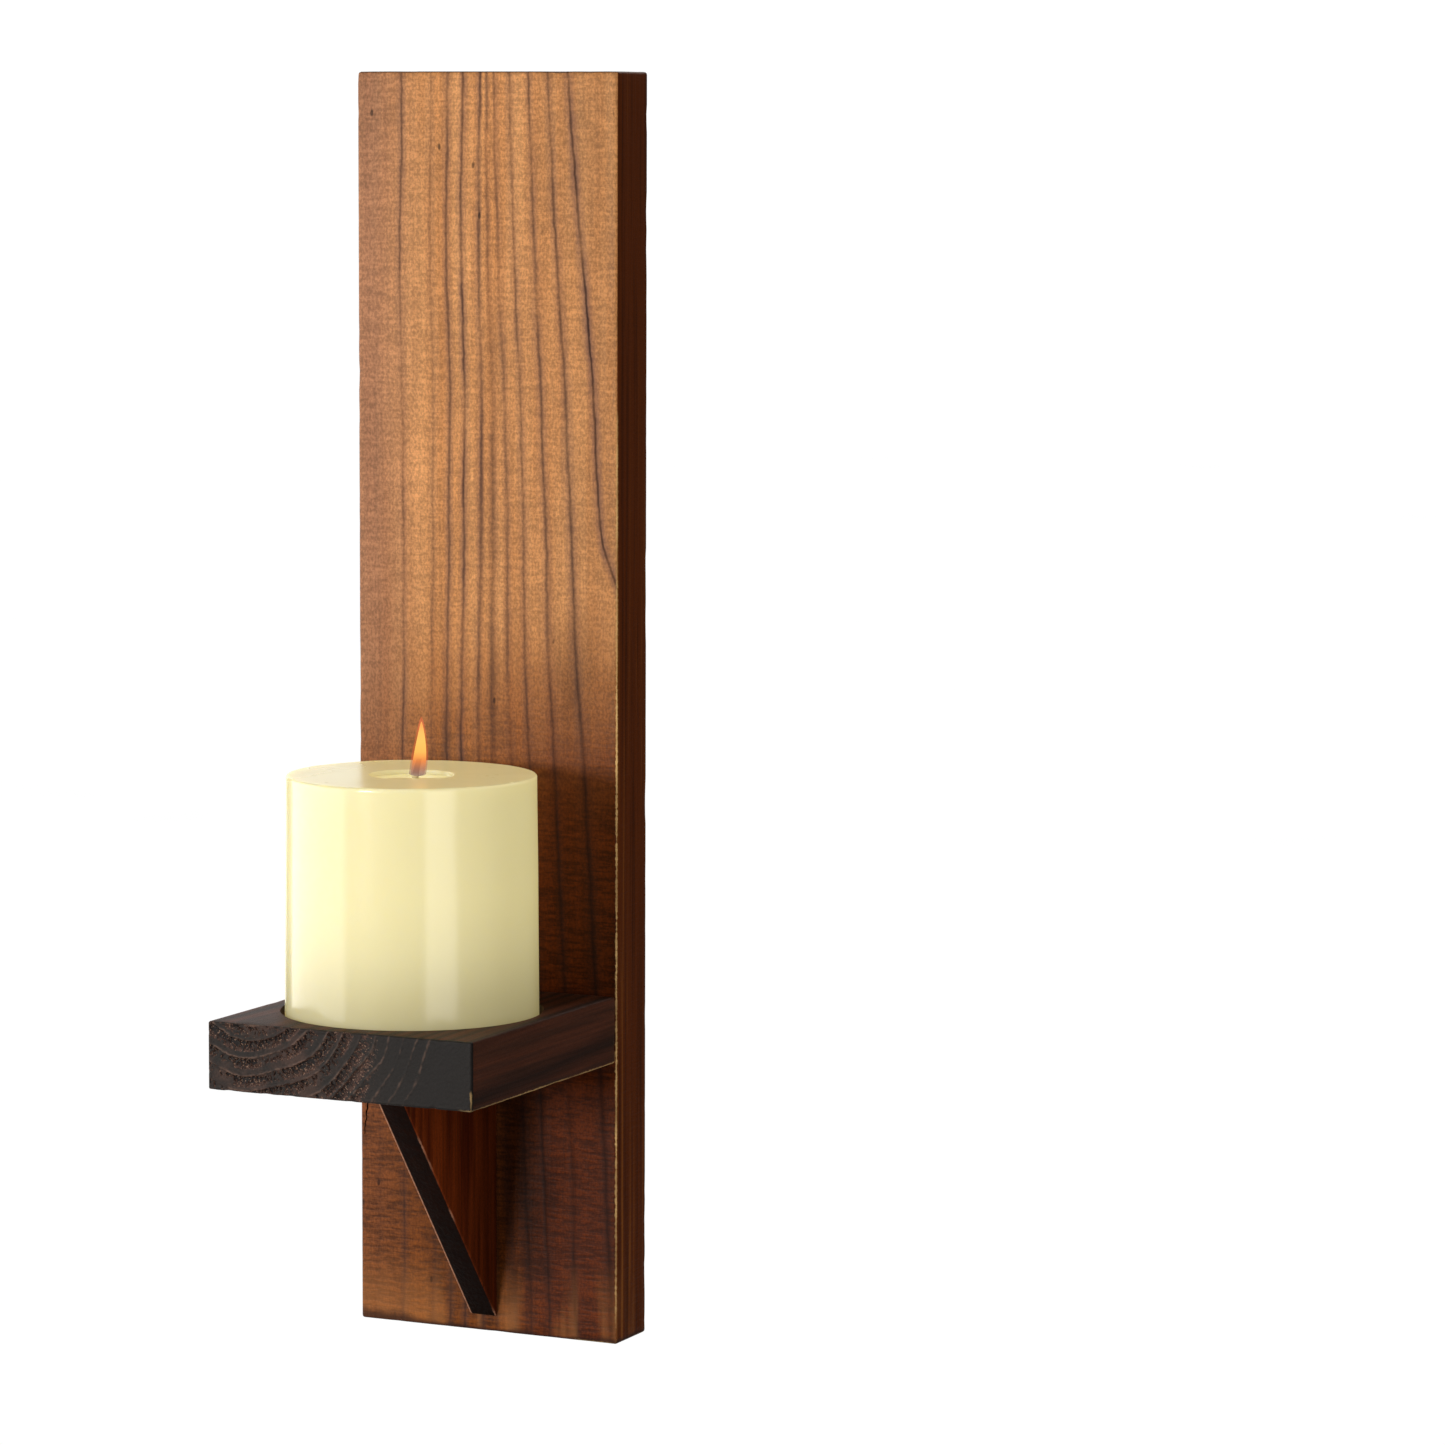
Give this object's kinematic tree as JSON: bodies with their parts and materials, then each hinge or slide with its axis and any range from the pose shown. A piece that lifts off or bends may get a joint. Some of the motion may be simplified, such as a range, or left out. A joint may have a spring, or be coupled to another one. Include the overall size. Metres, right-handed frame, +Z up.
{
  "type": "wall sconce candle holder",
  "caption": "Wooden wall sconce: tall backboard with a braced square shelf whose round recess holds a pillar candle.",
  "frame": {"origin": "centre of the backboard's back face, the face that lies on the wall", "axes": "+Y into the wall, +Z up along the backboard, +X to the viewer's right"},
  "size_m": [0.089, 0.1149, 0.388],
  "materials": {
    "board_wood": "satin",
    "shelf_wood": "satin",
    "brace_wood": "satin",
    "zinc_steel": "satin",
    "candle_wax": "satin",
    "wick_cotton": "matte",
    "tin_plate": "satin",
    "candle_flame": "gloss"
  },
  "bodies": {
    "sconce": {"backboard": "board_wood", "shelf": "shelf_wood", "brace": "brace_wood", "keyhole_hanger": "zinc_steel", "hanger_screw_left": "zinc_steel", "hanger_screw_right": "zinc_steel", "shelf_screw_left": "zinc_steel", "shelf_screw_right": "zinc_steel", "brace_screw_upper": "zinc_steel", "brace_screw_lower": "zinc_steel", "brace_top_screw_rear": "zinc_steel", "brace_top_screw_front": "zinc_steel"},
    "candle": {"candle": "candle_wax", "candle_wick": "wick_cotton", "wick_tab": "tin_plate"}
  },
  "joints": [
    {"name": "candle_lift", "type": "slide", "parent": "sconce", "child": "candle", "axis": [0, 0, 1], "range_m": [0, 0.1]}
  ]
}
